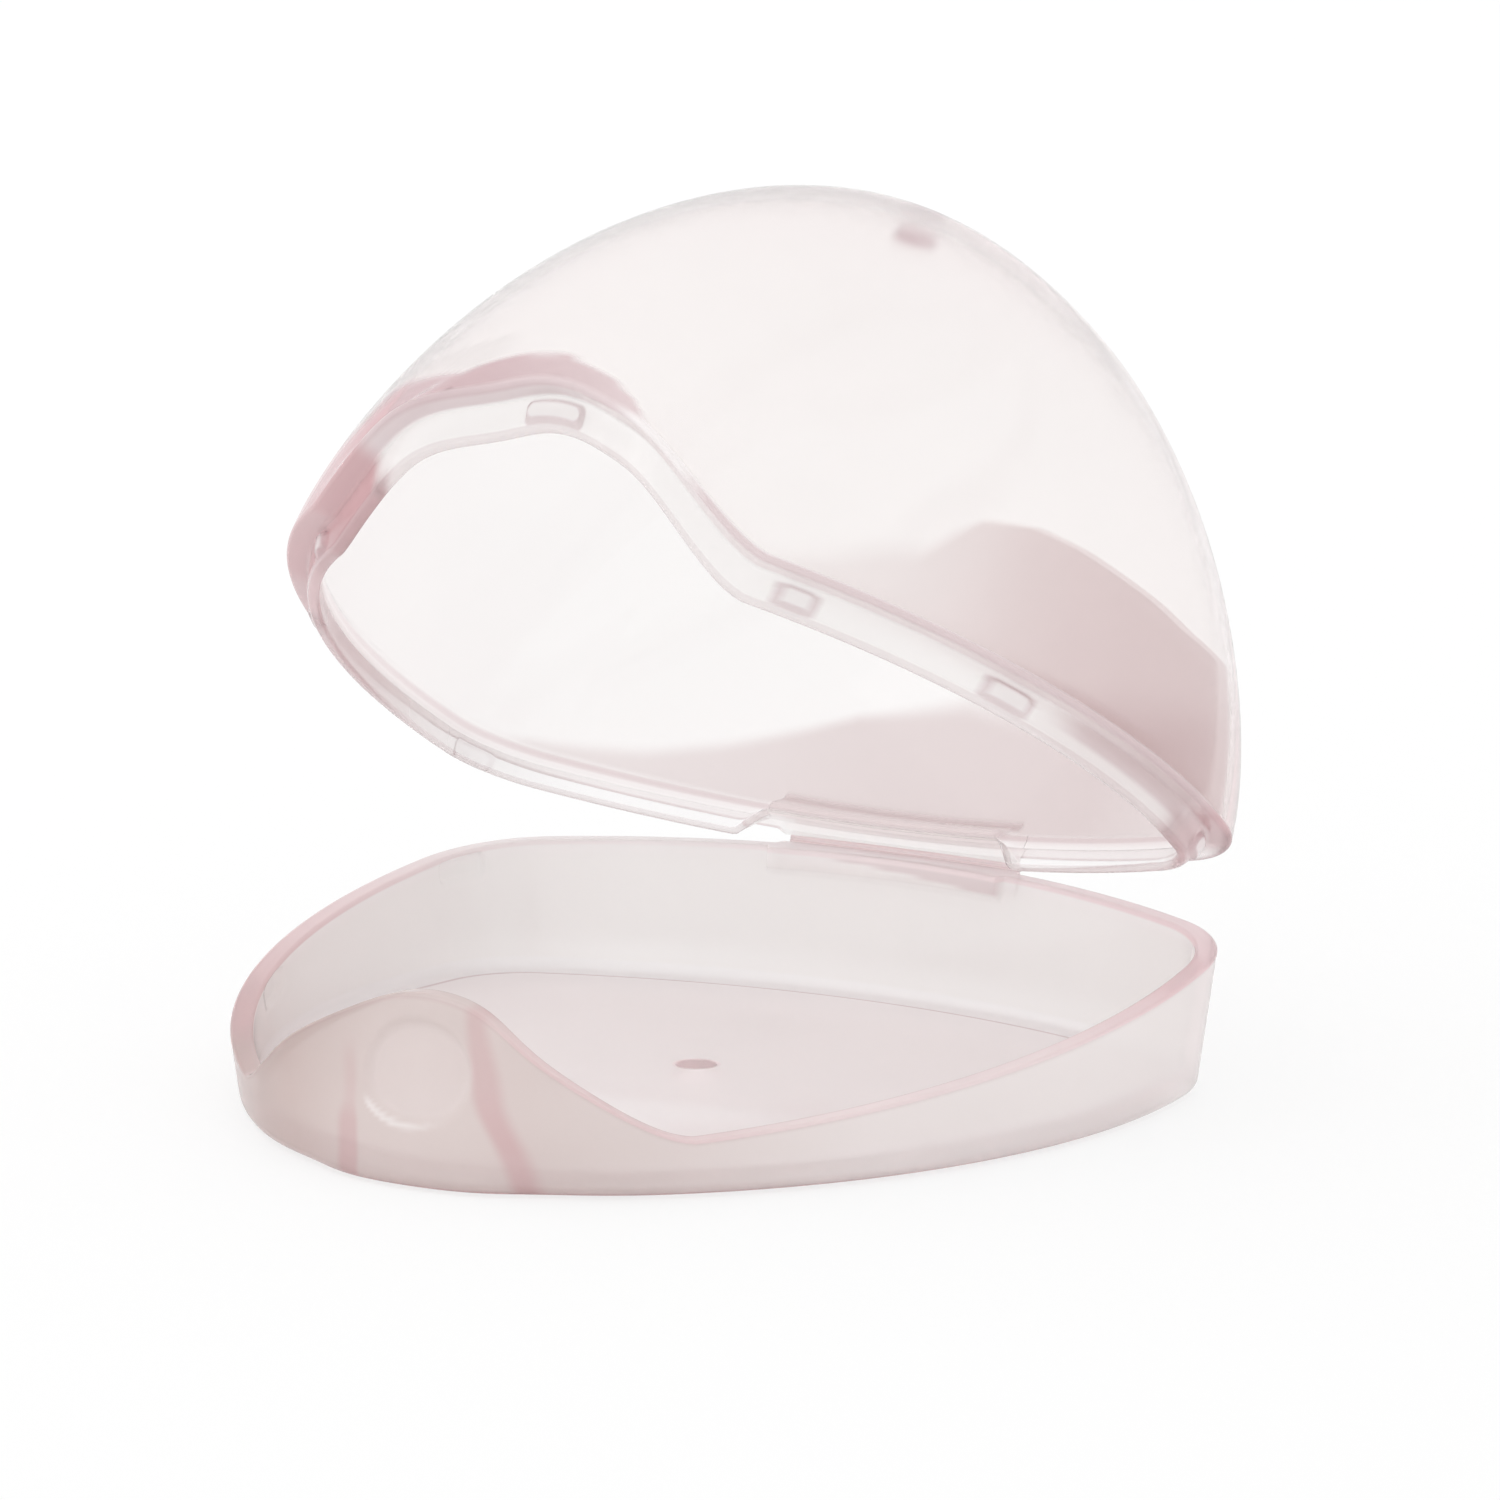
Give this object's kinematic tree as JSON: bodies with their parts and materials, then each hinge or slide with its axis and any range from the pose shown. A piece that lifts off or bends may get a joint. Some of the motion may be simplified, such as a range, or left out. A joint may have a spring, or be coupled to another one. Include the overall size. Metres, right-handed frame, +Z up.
{
  "type": "pacifier case",
  "caption": "Hinged travel case for a pacifier: shallow rounded-triangle tray with a thumb tab, and a tall domed lid with a snap lip on a film hinge, shown half open.",
  "frame": {"origin": "on the flat resting face of the tray, in the middle between the two sides", "axes": "+X along the hinge, +Y towards the hinge at the back, +Z up; the case stands on z = 0 with its lid half open"},
  "size_m": [0.0762, 0.0881, 0.0698],
  "materials": {
    "tray": "translucent, satin gloss",
    "dome": "translucent, satin gloss",
    "hinge": "translucent, satin gloss"
  },
  "bodies": {
    "base": {"base_tray": "tray", "film_hinge": "hinge"},
    "lid": {"lid_dome": "dome"}
  },
  "joints": [
    {"name": "lid_hinge", "type": "hinge", "parent": "base", "child": "lid", "pos_m": [0, 0.03408, 0.0128], "axis": [-1, 0, 0], "range_deg": [-40, 80]}
  ]
}
